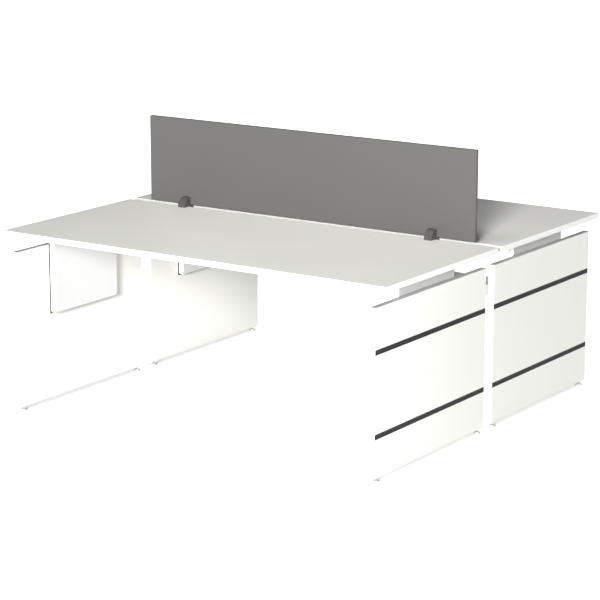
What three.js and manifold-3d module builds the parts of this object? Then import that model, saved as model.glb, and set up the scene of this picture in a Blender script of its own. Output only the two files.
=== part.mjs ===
// Benching desk for two: worktops back to back on slab end panels, with a screen over the slot.
// Millimetres, +X along the worktops, +Y from the front seat to the rear one, +Z up from the floor.
import * as THREE from 'three';
import { mergeVertices } from 'three/addons/utils/BufferGeometryUtils.js';
import Module from 'manifold-3d';

// Worktops
const WORKTOP_LENGTH = 1800;
const WORKTOP_DEPTH = 815;
const WORKTOP_THICKNESS = 22;
const WORKTOP_HEIGHT = 740;
const WORKTOP_CORNER_RADIUS = 5;
const EDGE_BAND_THICKNESS = 2;
const EDGE_BAND_ARRIS = 1.5;
const SLOT_WIDTH = 30;

// End panels, set back from the slot, and the inlay strips in their outer faces
const PANEL_INSET = 45;
const PANEL_SETBACK = 15;
const PANEL_THICKNESS = 25;
const PANEL_TOP_GAP = 60;
const PANEL_FLOOR_GAP = 18;
const PANEL_ARRIS = 1;
const INLAY_WIDTH = 20;
const INLAY_DEPTH = 3;
const INLAY_FROM_BOTTOM = 147;
const INLAY_FROM_TOP = 157;

// Riser boards and the steel angles at their tops
const RISER_LENGTH = 400;
const RISER_HEIGHT = 345;
const RISER_THICKNESS = 25;
const RISER_CORNER_RADIUS = 10;
const RISER_REBATE_DEPTH = 3;
const RISER_REBATE_WIDTH = 10;
const ANGLE_LEG = 30;
const ANGLE_THICKNESS = 2.5;
const ANGLE_LENGTH = 300;
const ANGLE_BEND_RADIUS = 4;
const ANGLE_HOLE_DIAMETER = 5.5;
const ANGLE_HOLE_COUNT = 4;
const ANGLE_HOLE_PITCH = 80;

// Stiffening rails
const RAIL_WIDTH = 40;
const RAIL_HEIGHT = 20;
const RAIL_WALL = 1.5;
const RAIL_CORNER_RADIUS = 3;
const RAIL_END_GAP = 10;

// Cable tray
const TRAY_WIDTH = 144;
const TRAY_DROP = 80;
const TRAY_LIP_HEIGHT = 22;
const TRAY_SHEET = 1.5;
const TRAY_BEND_RADIUS = 3;
const TRAY_FLANGE_DROP = 40;
const TRAY_SLOT_LENGTH = 80;
const TRAY_SLOT_WIDTH = 14;
const TRAY_SLOT_PITCH = 220;
const TRAY_SLOT_COUNT = 7;
const TRAY_SCREW_DIAMETER = 5.5;
const TRAY_SCREW_EDGE = 11;

// Privacy screen
const SCREEN_LENGTH = 1580;
const SCREEN_HEIGHT = 360;
const SCREEN_THICKNESS = 16;
const SCREEN_LIFT = 8;
const SCREEN_CORNER_RADIUS = 4;
const SCREEN_ARRIS = 1.5;

// Screen clamps
const CLAMP_FROM_SCREEN_END = 190;
const CLAMP_WIDTH = 36;
const CHEEK_RADIUS = 40;
const CLAMP_ARRIS = 1;
const TONGUE_DEPTH = 10;
const BOLT_DIAMETER = 8;
const BOLT_HEAD_ACROSS_FLATS = 13;
const BOLT_HEAD_HEIGHT = 5;
const BOLT_TAIL = 6;
const PLATE_LENGTH = 130;
const PLATE_WIDTH = 40;
const PLATE_THICKNESS = 5;
const PLATE_CORNER_RADIUS = 8;
const KNOB_RADIUS = 20;
const KNOB_LOBE_DEPTH = 2.5;
const KNOB_LOBES = 6;
const KNOB_THICKNESS = 14;
const KNOB_HUB_RADIUS = 9;
const KNOB_HUB_HEIGHT = 5;
const KNOB_ARRIS = 2;

// Levelling feet
const FOOT_INSET = 30;
const FOOT_PAD_RADIUS = 14;
const FOOT_PAD_HEIGHT = 7.5;
const FOOT_PAD_RIM = 3;
const FOOT_SOCKET_DEPTH = 4;
const STUD_DIAMETER = 8;
const STUD_ENGAGEMENT = 18;
const COLLAR_ACROSS_FLATS = 13;
const COLLAR_HEIGHT = 6;
const INSERT_RADIUS = 7;
const INSERT_LENGTH = 24;
const INSERT_FLANGE_RADIUS = 11;
const INSERT_FLANGE_THICKNESS = 1.5;

// Clearances: glue line of the edge band, flat seats, and round or sliding fits
const GLUE_LINE = 0.05;
const SEAT_GAP = 0.1;
const FIT_GAP = 0.3;
const CUT_MARGIN = 1;

// Facets on a full turn of a turned piece, a drilled hole and the knob's rim, on the arc of a bend or
// a corner and of a clamp's cheek, and across an eased arris
const ROUND_FACETS = 20;
const DRILL_FACETS = 12;
const KNOB_FACETS = 48;
const CORNER_FACETS = 4;
const CHEEK_FACETS = 16;
const ARRIS_FACETS = 2;
const WELD = 1e-3;

// Levels and places worked out from the driving dimensions
const UNDERSIDE = WORKTOP_HEIGHT - WORKTOP_THICKNESS;
const PANEL_TOP = UNDERSIDE - PANEL_TOP_GAP;
const PANEL_HEIGHT = PANEL_TOP - PANEL_FLOOR_GAP;
const PANEL_CENTRE_X = WORKTOP_LENGTH / 2 - PANEL_INSET - PANEL_THICKNESS / 2;
const PANEL_INNER_X = PANEL_CENTRE_X - PANEL_THICKNESS / 2;
const RISER_INNER_X = PANEL_INNER_X - SEAT_GAP - RISER_THICKNESS;
const PANEL_DEPTH = WORKTOP_DEPTH - PANEL_SETBACK;
const PANEL_GAP = SLOT_WIDTH + 2 * PANEL_SETBACK;
const PANEL_CENTRE_Y = (PANEL_GAP + PANEL_DEPTH) / 2;
const WORKTOP_CENTRE_Y = (SLOT_WIDTH + WORKTOP_DEPTH) / 2;

// Extrusion frames: a shape drawn in YZ runs along +X, one drawn in XZ runs along -Y
const ALONG_X = new THREE.Matrix4().makeBasis(
  new THREE.Vector3(0, 1, 0), new THREE.Vector3(0, 0, 1), new THREE.Vector3(1, 0, 0));
const ALONG_MINUS_Y = new THREE.Matrix4().makeBasis(
  new THREE.Vector3(1, 0, 0), new THREE.Vector3(0, 0, 1), new THREE.Vector3(0, -1, 0));

const FINISHES = {
  worktop: { color: 0xd4d3ce, roughness: 0.55, metalness: 0 },
  whiteBoard: { color: 0xf4f3ef, roughness: 0.5, metalness: 0 },
  inlay: { color: 0x3c3a3c, roughness: 0.6, metalness: 0 },
  screen: { color: 0x8a8983, roughness: 0.85, metalness: 0 },
  clamp: { color: 0x4b4a48, roughness: 0.5, metalness: 0.2 },
  paintedSteel: { color: 0xe9e8e3, roughness: 0.45, metalness: 0.3 },
  zincSteel: { color: 0xb9bcc0, roughness: 0.35, metalness: 0.9 },
  knob: { color: 0x2a2a2b, roughness: 0.6, metalness: 0 },
  footPad: { color: 0xdcdcd9, roughness: 0.6, metalness: 0 },
};

const wasm = await Module();
wasm.setup();

// A closed geometry as a solid that can be joined and cut.
function toSolid(geometry) {
  const bare = geometry.clone();
  bare.deleteAttribute('normal');
  bare.deleteAttribute('uv');
  const welded = mergeVertices(bare, WELD);
  const corners = welded.index.array;
  const kept = [];
  for (let i = 0; i < corners.length; i += 3) {
    const [a, b, c] = [corners[i], corners[i + 1], corners[i + 2]];
    if (a !== b && b !== c && c !== a) kept.push(a, b, c);
  }
  const vertProperties = new Float32Array(welded.attributes.position.array);
  return new wasm.Manifold(new wasm.Mesh({ numProp: 3, vertProperties, triVerts: new Uint32Array(kept) }));
}

// A solid back as a geometry with normals.
function toGeometry(solid) {
  const mesh = solid.getMesh();
  const geometry = new THREE.BufferGeometry();
  geometry.setAttribute('position', new THREE.BufferAttribute(mesh.vertProperties, 3));
  geometry.setIndex(new THREE.BufferAttribute(mesh.triVerts, 1));
  geometry.computeVertexNormals();
  return geometry;
}

function cut(geometry, tools) {
  return toGeometry(tools.reduce((body, tool) => body.subtract(toSolid(tool)), toSolid(geometry)));
}

function join(geometries) {
  const [first, ...others] = geometries.map(toSolid);
  return toGeometry(others.reduce((body, other) => body.add(other), first));
}

// A rectangle centred on the origin, with one radius for its lower and one for its upper corners.
function roundedRectangle(width, height, lowerRadius, upperRadius = lowerRadius) {
  const [x, y] = [width / 2, height / 2];
  const shape = new THREE.Shape();
  const corner = (cx, cy, radius, start) => {
    if (radius > 0) shape.absarc(cx, cy, radius, start, start + Math.PI / 2, false);
    else shape.lineTo(cx, cy);
  };
  shape.moveTo(-x + lowerRadius, -y);
  corner(x - lowerRadius, -y + lowerRadius, lowerRadius, -Math.PI / 2);
  corner(x - upperRadius, y - upperRadius, upperRadius, 0);
  corner(-x + upperRadius, y - upperRadius, upperRadius, Math.PI / 2);
  corner(-x + lowerRadius, -y + lowerRadius, lowerRadius, Math.PI);
  return shape;
}

function polygon(points) {
  return new THREE.Shape(points.map(([x, y]) => new THREE.Vector2(x, y)));
}

// A shape extruded evenly about its own plane, with its arrises eased where asked.
function extrude(shape, thickness, { arris = 0, facets = CORNER_FACETS } = {}) {
  const geometry = new THREE.ExtrudeGeometry(shape, {
    depth: thickness - 2 * arris,
    curveSegments: facets / 2,
    bevelEnabled: arris > 0,
    bevelThickness: arris,
    bevelSize: arris,
    bevelOffset: -arris,
    bevelSegments: ARRIS_FACETS,
  });
  return geometry.translate(0, 0, arris - thickness / 2);
}

// A profile of radius and height turned about +Z.
function turn(profile) {
  const points = profile.map(([radius, height]) => new THREE.Vector2(radius, height));
  return new THREE.LatheGeometry(points, ROUND_FACETS).rotateX(Math.PI / 2);
}

// A round bar or drill about +Z between two heights.
function roundBar(diameter, bottom, top, facets = ROUND_FACETS) {
  const bar = new THREE.CylinderGeometry(diameter / 2, diameter / 2, top - bottom, facets);
  return bar.rotateX(Math.PI / 2).translate(0, 0, (bottom + top) / 2);
}

// A screw hole's drill about +Z, long enough to pass a sheet that has one face at zero height.
function sheetDrill(diameter, sheet) {
  return roundBar(diameter, -sheet - CUT_MARGIN, sheet + CUT_MARGIN, DRILL_FACETS);
}

// A hexagonal bar about +Z between two heights.
function hexBar(acrossFlats, bottom, top) {
  return roundBar(acrossFlats / Math.cos(Math.PI / 6), bottom, top, 6);
}

function box(sizeX, sizeY, sizeZ, x, y, z) {
  return new THREE.BoxGeometry(sizeX, sizeY, sizeZ).translate(x, y, z);
}

function piece(name, geometry, finish, x = 0, y = 0, z = 0) {
  const mesh = new THREE.Mesh(geometry, new THREE.MeshStandardMaterial(FINISHES[finish]));
  mesh.name = name;
  mesh.position.set(x, y, z);
  return mesh;
}

// Evenly spaced places about zero.
function spread(count, pitch) {
  return Array.from({ length: count }, (_, i) => (i - (count - 1) / 2) * pitch);
}

// Worktop: a laminated core inside a ring of edge band.
function worktop(row, centreY) {
  const coreLength = WORKTOP_LENGTH - 2 * EDGE_BAND_THICKNESS;
  const coreDepth = WORKTOP_DEPTH - 2 * EDGE_BAND_THICKNESS;
  const coreRadius = WORKTOP_CORNER_RADIUS - EDGE_BAND_THICKNESS;
  const core = roundedRectangle(
    coreLength - 2 * GLUE_LINE, coreDepth - 2 * GLUE_LINE, coreRadius - GLUE_LINE);
  const outline = roundedRectangle(WORKTOP_LENGTH, WORKTOP_DEPTH, WORKTOP_CORNER_RADIUS);
  const slab = extrude(outline, WORKTOP_THICKNESS, { arris: EDGE_BAND_ARRIS });
  const opening = roundedRectangle(coreLength, coreDepth, coreRadius);
  const band = cut(slab, [extrude(opening, WORKTOP_THICKNESS + 2 * CUT_MARGIN)]);
  const level = WORKTOP_HEIGHT - WORKTOP_THICKNESS / 2;
  const group = new THREE.Group();
  group.position.set(0, centreY, level);
  group.add(piece(`worktop_${row}`, extrude(core, WORKTOP_THICKNESS), 'worktop'));
  group.add(piece(`edge_band_${row}`, band, 'whiteBoard'));
  return group;
}

// Heights of the middle of the lower and the upper inlay strip.
function inlayLevels() {
  return {
    lower: PANEL_FLOOR_GAP + INLAY_FROM_BOTTOM + INLAY_WIDTH / 2,
    upper: PANEL_TOP - INLAY_FROM_TOP - INLAY_WIDTH / 2,
  };
}

// End panel: a slab with two grooves in its outer face, closed at their ends by the edge band.
function endPanelGeometry(footOffset) {
  const outline = roundedRectangle(PANEL_DEPTH, PANEL_HEIGHT, 0);
  const slab = extrude(outline, PANEL_THICKNESS, { arris: PANEL_ARRIS }).applyMatrix4(ALONG_X);
  slab.translate(0, 0, PANEL_FLOOR_GAP + PANEL_HEIGHT / 2);
  const grooveLength = PANEL_DEPTH - 2 * EDGE_BAND_THICKNESS;
  const grooveX = PANEL_THICKNESS / 2 - INLAY_DEPTH / 2 + CUT_MARGIN / 2;
  const grooves = Object.values(inlayLevels()).map(
    (level) => box(INLAY_DEPTH + CUT_MARGIN, grooveLength, INLAY_WIDTH, grooveX, 0, level));
  const sockets = [-footOffset, footOffset].map((y) => roundBar(2 * (INSERT_RADIUS + FIT_GAP),
    PANEL_FLOOR_GAP - CUT_MARGIN, PANEL_FLOOR_GAP + INSERT_LENGTH + SEAT_GAP).translate(0, y, 0));
  return cut(slab, [...grooves, ...sockets]);
}

function inlayGeometry() {
  const length = PANEL_DEPTH - 2 * EDGE_BAND_THICKNESS - 2 * FIT_GAP;
  return new THREE.BoxGeometry(INLAY_DEPTH - SEAT_GAP, length, INLAY_WIDTH - 2 * SEAT_GAP);
}

// Riser: a board with rounded lower corners, which stands up past the end panel. A rebate round the
// part of its back that lies on the panel leaves a shadow line.
function riserGeometry() {
  const height = RISER_HEIGHT - SEAT_GAP;
  const outline = roundedRectangle(RISER_LENGTH, height, RISER_CORNER_RADIUS, 0);
  const board = extrude(outline, RISER_THICKNESS, { arris: PANEL_ARRIS }).applyMatrix4(ALONG_X);
  const overlap = RISER_HEIGHT - PANEL_TOP_GAP;
  const back = RISER_THICKNESS / 2;
  const middle = (overlap - height) / 2;
  const around = box(2 * RISER_REBATE_DEPTH, RISER_LENGTH + 2 * CUT_MARGIN, overlap + 2 * CUT_MARGIN,
    back, 0, middle - CUT_MARGIN);
  const seat = box(RISER_THICKNESS, RISER_LENGTH - 2 * RISER_REBATE_WIDTH, overlap,
    back, 0, middle + RISER_REBATE_WIDTH);
  return cut(board, [cut(around, [seat])]);
}

// Folded angle with its corner at the origin: one leg runs along -X and the other along -Z.
function angleGeometry() {
  const inner = ANGLE_BEND_RADIUS - ANGLE_THICKNESS;
  const profile = new THREE.Shape();
  profile.moveTo(0, -ANGLE_LEG);
  profile.lineTo(0, -ANGLE_BEND_RADIUS);
  profile.absarc(-ANGLE_BEND_RADIUS, -ANGLE_BEND_RADIUS, ANGLE_BEND_RADIUS, 0, Math.PI / 2, false);
  profile.lineTo(-ANGLE_LEG, 0);
  profile.lineTo(-ANGLE_LEG, -ANGLE_THICKNESS);
  profile.absarc(-ANGLE_BEND_RADIUS, -ANGLE_BEND_RADIUS, inner, Math.PI / 2, 0, true);
  profile.lineTo(-ANGLE_THICKNESS, -ANGLE_LEG);
  const folded = extrude(profile, ANGLE_LENGTH).applyMatrix4(ALONG_MINUS_Y);
  const middle = -(ANGLE_LEG + ANGLE_BEND_RADIUS) / 2;
  const drill = () => sheetDrill(ANGLE_HOLE_DIAMETER, ANGLE_THICKNESS);
  const drills = spread(ANGLE_HOLE_COUNT, ANGLE_HOLE_PITCH).flatMap((y) => [
    drill().translate(middle, y, 0),
    drill().rotateY(Math.PI / 2).translate(0, y, middle),
  ]);
  return cut(folded, drills);
}

// Threaded insert: a flanged bush in the underside of the end panel.
function insertGeometry() {
  const bore = STUD_DIAMETER / 2 + FIT_GAP;
  return turn([
    [bore, -INSERT_FLANGE_THICKNESS],
    [INSERT_FLANGE_RADIUS, -INSERT_FLANGE_THICKNESS],
    [INSERT_FLANGE_RADIUS, -SEAT_GAP],
    [INSERT_RADIUS, -SEAT_GAP],
    [INSERT_RADIUS, INSERT_LENGTH],
    [bore, INSERT_LENGTH],
    [bore, -INSERT_FLANGE_THICKNESS],
  ]);
}

// Stud: a threaded bar with a hexagonal collar that stops against the insert.
function studGeometry() {
  const collarTop = PANEL_FLOOR_GAP - INSERT_FLANGE_THICKNESS - FIT_GAP;
  const bottom = FOOT_PAD_HEIGHT - FOOT_SOCKET_DEPTH + FIT_GAP;
  return join([
    roundBar(STUD_DIAMETER, bottom, PANEL_FLOOR_GAP + STUD_ENGAGEMENT),
    hexBar(COLLAR_ACROSS_FLATS, collarTop - COLLAR_HEIGHT, collarTop),
  ]);
}

// Foot pad: a turned disc with a socket for the stud.
function padGeometry() {
  const socket = STUD_DIAMETER / 2 + FIT_GAP;
  const shoulder = (FOOT_PAD_RADIUS + socket) / 2;
  return turn([
    [0, 0],
    [FOOT_PAD_RADIUS - FOOT_PAD_RIM / 2, 0],
    [FOOT_PAD_RADIUS, FOOT_PAD_RIM / 2],
    [FOOT_PAD_RADIUS, FOOT_PAD_RIM],
    [shoulder, FOOT_PAD_HEIGHT],
    [socket, FOOT_PAD_HEIGHT],
    [socket, FOOT_PAD_HEIGHT - FOOT_SOCKET_DEPTH],
    [0, FOOT_PAD_HEIGHT - FOOT_SOCKET_DEPTH],
  ]);
}

// One end of one desk, drawn with its outer face towards +X and turned round for the left-hand end.
function endFrame(row, side) {
  const rowSign = row === 'rear' ? 1 : -1;
  const sideSign = side === 'right' ? 1 : -1;
  const place = `${row}_${side}`;
  const footOffset = PANEL_DEPTH / 2 - FOOT_INSET;
  const group = new THREE.Group();
  group.position.set(sideSign * PANEL_CENTRE_X, rowSign * PANEL_CENTRE_Y, 0);
  group.rotation.z = sideSign > 0 ? 0 : Math.PI;
  group.add(piece(`end_panel_${place}`, endPanelGeometry(footOffset), 'whiteBoard'));
  const inlayX = (PANEL_THICKNESS - INLAY_DEPTH + SEAT_GAP) / 2;
  for (const [height, level] of Object.entries(inlayLevels())) {
    group.add(piece(`inlay_${place}_${height}`, inlayGeometry(), 'inlay', inlayX, 0, level));
  }
  const riserX = -(PANEL_THICKNESS + RISER_THICKNESS) / 2 - SEAT_GAP;
  const riserZ = UNDERSIDE - (RISER_HEIGHT + SEAT_GAP) / 2;
  group.add(piece(`riser_${place}`, riserGeometry(), 'whiteBoard', riserX, 0, riserZ));
  const angleX = riserX - RISER_THICKNESS / 2 - SEAT_GAP;
  group.add(piece(`angle_${place}`, angleGeometry(), 'paintedSteel', angleX, 0, UNDERSIDE - SEAT_GAP));
  for (const [end, endSign] of [['inner', -rowSign], ['outer', rowSign]]) {
    const y = endSign * sideSign * footOffset;
    group.add(piece(`foot_insert_${place}_${end}`, insertGeometry(), 'zincSteel', 0, y, PANEL_FLOOR_GAP));
    group.add(piece(`foot_stud_${place}_${end}`, studGeometry(), 'zincSteel', 0, y));
    group.add(piece(`foot_pad_${place}_${end}`, padGeometry(), 'footPad', 0, y));
  }
  return group;
}

// Stiffening rail: a rectangular tube under the middle of a worktop, between the steel angles.
function rail(row, centreY) {
  const length = 2 * (RISER_INNER_X - SEAT_GAP - ANGLE_LEG - RAIL_END_GAP);
  const section = roundedRectangle(RAIL_WIDTH, RAIL_HEIGHT, RAIL_CORNER_RADIUS);
  section.holes.push(roundedRectangle(RAIL_WIDTH - 2 * RAIL_WALL, RAIL_HEIGHT - 2 * RAIL_WALL,
    RAIL_CORNER_RADIUS - RAIL_WALL));
  const tube = extrude(section, length).applyMatrix4(ALONG_X);
  const level = UNDERSIDE - SEAT_GAP - RAIL_HEIGHT / 2;
  return piece(`stiffening_rail_${row}`, tube, 'paintedSteel', 0, centreY, level);
}

// Folded channel section about zero, open upwards, with its floor's underside at zero height.
function channelShape() {
  const half = TRAY_WIDTH / 2;
  const inner = TRAY_BEND_RADIUS - TRAY_SHEET;
  const bend = half - TRAY_BEND_RADIUS;
  const shape = new THREE.Shape();
  shape.moveTo(half, TRAY_LIP_HEIGHT);
  shape.lineTo(half - TRAY_SHEET, TRAY_LIP_HEIGHT);
  shape.absarc(bend, TRAY_BEND_RADIUS, inner, 0, -Math.PI / 2, true);
  shape.absarc(-bend, TRAY_BEND_RADIUS, inner, -Math.PI / 2, -Math.PI, true);
  shape.lineTo(-half + TRAY_SHEET, TRAY_LIP_HEIGHT);
  shape.lineTo(-half, TRAY_LIP_HEIGHT);
  shape.absarc(-bend, TRAY_BEND_RADIUS, TRAY_BEND_RADIUS, Math.PI, 1.5 * Math.PI, false);
  shape.absarc(bend, TRAY_BEND_RADIUS, TRAY_BEND_RADIUS, -Math.PI / 2, 0, false);
  return shape;
}

// Cable tray: a folded channel from panel to panel, with cable slots in its floor and a flange at
// each end that is turned down on the front and the rear end panel.
function cableTray() {
  const endX = PANEL_INNER_X - SEAT_GAP;
  const channel = extrude(channelShape(), 2 * endX).applyMatrix4(ALONG_X);
  const flangeWidth = TRAY_WIDTH - 2 * TRAY_BEND_RADIUS;
  const flangeHeight = TRAY_FLANGE_DROP + TRAY_SHEET / 2;
  const flangeX = endX - TRAY_SHEET / 2;
  const flangeZ = (TRAY_SHEET / 2 - TRAY_FLANGE_DROP) / 2;
  const flanges = [-1, 1].map((s) => box(TRAY_SHEET, flangeWidth, flangeHeight, s * flangeX, 0, flangeZ));
  const slotShape = roundedRectangle(TRAY_SLOT_LENGTH, TRAY_SLOT_WIDTH, TRAY_SLOT_WIDTH / 2);
  const slots = spread(TRAY_SLOT_COUNT, TRAY_SLOT_PITCH).map(
    (x) => extrude(slotShape, TRAY_SHEET + 2 * CUT_MARGIN).translate(x, 0, TRAY_SHEET / 2));
  const screwY = (PANEL_GAP + flangeWidth) / 4;
  const screwLevels = [-TRAY_SCREW_EDGE, TRAY_SCREW_EDGE - TRAY_FLANGE_DROP];
  const drills = [-1, 1].flatMap((side) => [-screwY, screwY].flatMap((y) => screwLevels.map(
    (z) => sheetDrill(TRAY_SCREW_DIAMETER, TRAY_SHEET)
      .rotateY(Math.PI / 2).translate(side * flangeX, y, z))));
  const tray = cut(join([channel, ...flanges]), [...slots, ...drills]);
  return piece('cable_tray', tray, 'paintedSteel', 0, 0, PANEL_TOP - TRAY_DROP);
}

function privacyScreen() {
  const outline = roundedRectangle(SCREEN_LENGTH, SCREEN_HEIGHT, SCREEN_CORNER_RADIUS);
  const board = extrude(outline, SCREEN_THICKNESS, { arris: SCREEN_ARRIS }).applyMatrix4(ALONG_MINUS_Y);
  return piece('privacy_screen', board, 'screen', 0, 0, WORKTOP_HEIGHT + SCREEN_LIFT + SCREEN_HEIGHT / 2);
}

// Clamp saddle: quarter-round cheeks each side of the screen, a bridge under it, and a tongue in the
// slot. The bolt's head sits in a hexagonal pocket under the screen.
function saddleGeometry() {
  const gap = SCREEN_THICKNESS / 2 + FIT_GAP;
  const tongue = SLOT_WIDTH / 2 - FIT_GAP;
  const bridge = SCREEN_LIFT - SEAT_GAP;
  const profile = new THREE.Shape();
  profile.moveTo(tongue, SEAT_GAP);
  profile.lineTo(gap + CHEEK_RADIUS, SEAT_GAP);
  profile.absarc(gap, SEAT_GAP, CHEEK_RADIUS, 0, Math.PI / 2, false);
  profile.lineTo(gap, bridge);
  profile.lineTo(-gap, bridge);
  profile.absarc(-gap, SEAT_GAP, CHEEK_RADIUS, Math.PI / 2, Math.PI, false);
  profile.lineTo(-tongue, SEAT_GAP);
  profile.lineTo(-tongue, -TONGUE_DEPTH);
  profile.lineTo(tongue, -TONGUE_DEPTH);
  const easing = { arris: CLAMP_ARRIS, facets: CHEEK_FACETS };
  const body = extrude(profile, CLAMP_WIDTH, easing).applyMatrix4(ALONG_X);
  const pocketFloor = bridge - BOLT_HEAD_HEIGHT - SEAT_GAP;
  return cut(body, [
    hexBar(BOLT_HEAD_ACROSS_FLATS + 2 * FIT_GAP, pocketFloor, bridge + CUT_MARGIN),
    roundBar(BOLT_DIAMETER + 2 * FIT_GAP, -TONGUE_DEPTH - CUT_MARGIN, bridge),
  ]);
}

// Bolt: a hexagonal head in the saddle's pocket and a shank down past the knob.
function boltGeometry(knobBottom) {
  const headTop = SCREEN_LIFT - 2 * SEAT_GAP;
  return join([
    hexBar(BOLT_HEAD_ACROSS_FLATS, headTop - BOLT_HEAD_HEIGHT, headTop),
    roundBar(BOLT_DIAMETER, knobBottom - BOLT_TAIL, headTop - BOLT_HEAD_HEIGHT / 2),
  ]);
}

// Pressure plate: bridges the slot from below.
function plateGeometry() {
  const outline = roundedRectangle(PLATE_WIDTH, PLATE_LENGTH, PLATE_CORNER_RADIUS);
  const hole = roundBar(BOLT_DIAMETER + 2 * FIT_GAP, -PLATE_THICKNESS, PLATE_THICKNESS);
  return cut(extrude(outline, PLATE_THICKNESS), [hole]);
}

// Star knob: a lobed wheel with a hub towards the plate, bored through for the bolt.
function knobGeometry() {
  const rim = Array.from({ length: KNOB_FACETS }, (_, i) => {
    const angle = (2 * Math.PI * i) / KNOB_FACETS;
    const radius = KNOB_RADIUS - KNOB_LOBE_DEPTH * (1 - Math.cos(KNOB_LOBES * angle)) / 2;
    return [radius * Math.cos(angle), radius * Math.sin(angle)];
  });
  const wheel = extrude(polygon(rim), KNOB_THICKNESS, { arris: KNOB_ARRIS });
  wheel.translate(0, 0, -KNOB_HUB_HEIGHT - KNOB_THICKNESS / 2);
  const hub = roundBar(2 * KNOB_HUB_RADIUS, -KNOB_HUB_HEIGHT - KNOB_ARRIS, 0);
  const bottom = -KNOB_HUB_HEIGHT - KNOB_THICKNESS - CUT_MARGIN;
  return cut(join([wheel, hub]), [roundBar(BOLT_DIAMETER + 2 * FIT_GAP, bottom, CUT_MARGIN)]);
}

// Screen clamp, drawn about the top of the worktops.
function screenClamp(side, x) {
  const plateTop = -WORKTOP_THICKNESS - SEAT_GAP;
  const knobTop = plateTop - PLATE_THICKNESS - SEAT_GAP;
  const knobBottom = knobTop - KNOB_HUB_HEIGHT - KNOB_THICKNESS;
  const group = new THREE.Group();
  group.position.set(x, 0, WORKTOP_HEIGHT);
  group.add(piece(`clamp_saddle_${side}`, saddleGeometry(), 'clamp'));
  group.add(piece(`clamp_bolt_${side}`, boltGeometry(knobBottom), 'zincSteel'));
  const plateMiddle = plateTop - PLATE_THICKNESS / 2;
  group.add(piece(`clamp_plate_${side}`, plateGeometry(), 'paintedSteel', 0, 0, plateMiddle));
  group.add(piece(`clamp_knob_${side}`, knobGeometry(), 'knob', 0, 0, knobTop));
  return group;
}

const desk = new THREE.Group();
for (const [row, centreY] of [['front', -WORKTOP_CENTRE_Y], ['rear', WORKTOP_CENTRE_Y]]) {
  desk.add(worktop(row, centreY));
  desk.add(rail(row, centreY));
  for (const side of ['left', 'right']) desk.add(endFrame(row, side));
}
desk.add(cableTray());
desk.add(privacyScreen());
const clampX = SCREEN_LENGTH / 2 - CLAMP_FROM_SCREEN_END;
for (const [side, x] of [['left', -clampX], ['right', clampX]]) {
  desk.add(screenClamp(side, x));
}

export default desk;
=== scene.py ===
import math
import random

import bmesh
import bpy
from bpy.props import FloatProperty, FloatVectorProperty, IntProperty, PointerProperty
from mathutils import Matrix, Vector


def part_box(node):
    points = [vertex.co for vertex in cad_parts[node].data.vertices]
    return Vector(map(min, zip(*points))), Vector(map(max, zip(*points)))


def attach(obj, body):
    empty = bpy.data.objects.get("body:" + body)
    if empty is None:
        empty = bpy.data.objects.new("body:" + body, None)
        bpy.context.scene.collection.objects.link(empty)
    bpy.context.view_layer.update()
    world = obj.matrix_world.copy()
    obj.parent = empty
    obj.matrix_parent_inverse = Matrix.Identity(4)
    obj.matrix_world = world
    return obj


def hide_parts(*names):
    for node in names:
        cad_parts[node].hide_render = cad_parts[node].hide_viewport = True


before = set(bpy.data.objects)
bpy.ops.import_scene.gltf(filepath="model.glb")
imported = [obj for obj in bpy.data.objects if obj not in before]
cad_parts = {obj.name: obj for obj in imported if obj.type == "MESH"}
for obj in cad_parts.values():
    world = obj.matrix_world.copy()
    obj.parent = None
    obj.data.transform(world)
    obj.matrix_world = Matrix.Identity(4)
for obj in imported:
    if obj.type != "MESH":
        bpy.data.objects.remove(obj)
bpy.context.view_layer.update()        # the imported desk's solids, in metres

bl_info = {
    "name": "Benching desk for two",
    "version": (1, 0, 0),
    "blender": (4, 5, 0),
    "location": "3D View > Sidebar > Desk",
    "description": "Dresses the packed desk with its boards, steelwork, clamps and feet",
    "category": "Object",
}

ROWS = ("front", "rear")
SIDES = ("left", "right")
CORNERS = [f"{row}_{side}" for row in ROWS for side in SIDES]
ENDS = ("inner", "outer")
FEET = [f"{corner}_{end}" for corner in CORNERS for end in ENDS]
LEVELS = ("lower", "upper")
DESK = "desk"

# How a drawing of a piece, across, up and towards the viewer, is stood in the desk's own axes
LYING = Matrix.Identity(3)
FACING_X = Matrix(((0, 0, 1), (1, 0, 0), (0, 1, 0)))
FACING_FRONT = Matrix(((1, 0, 0), (0, 0, -1), (0, 1, 0)))

# One turn of thread: share of the pitch, and share of the thread's depth
THREAD_SECTION = ((0.0, 1.0), (0.125, 1.0), (0.4375, 0.0), (0.6875, 0.0))
# A pan head's rim, as a share of its height, and its flat top and rounding, as shares of its radius
HEAD_RIM, HEAD_FLAT, HEAD_EASE = 0.45, 0.55, 0.4
ANGLE_SCREW_SEED, STEEL_SCREW_SEED = 4, 9
SHARP_EDGE = math.radians(40)
SAME_POINT = 1e-7
PAINT_EDGE = 0.0002   # softness of the edge of the painted shadow round a riser
KICKED = (0.05, 0.16)   # heights between which the scuffs on a panel fade out
SCUFFED = (0.10, 0.24)   # from a streak that doesn't show to a full scuff
SCUFF_SHADE, SCUFF_DULL = 0.55, 0.3
ZINC_COOL, ZINC_WARM = (0.94, 0.99, 1.05), (1.05, 1.02, 0.92)
FLOOR_CLEARANCE = 0.0002
CONTACT = 0.05   # how near the floor a piece has to be to cover it
SENSOR = 36
# The soft lights: where each is, where it points, its width and height, and the setting of its power
SOFT_LIGHTS = {
    "top": ((0.55, -1.15, 3.4), (0.4, -0.4, 0.7), (1.6, 1.2), "top_power"),
    "knee": ((1.6, -2.4, 0.5), (-0.8, 0.2, 0.35), (1.6, 1.2), "knee_power"),
    "bounce": ((0, 0, 0.01), (0, 0, 1), (1.5, 1.3), "bounce_power"),
}


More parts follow.
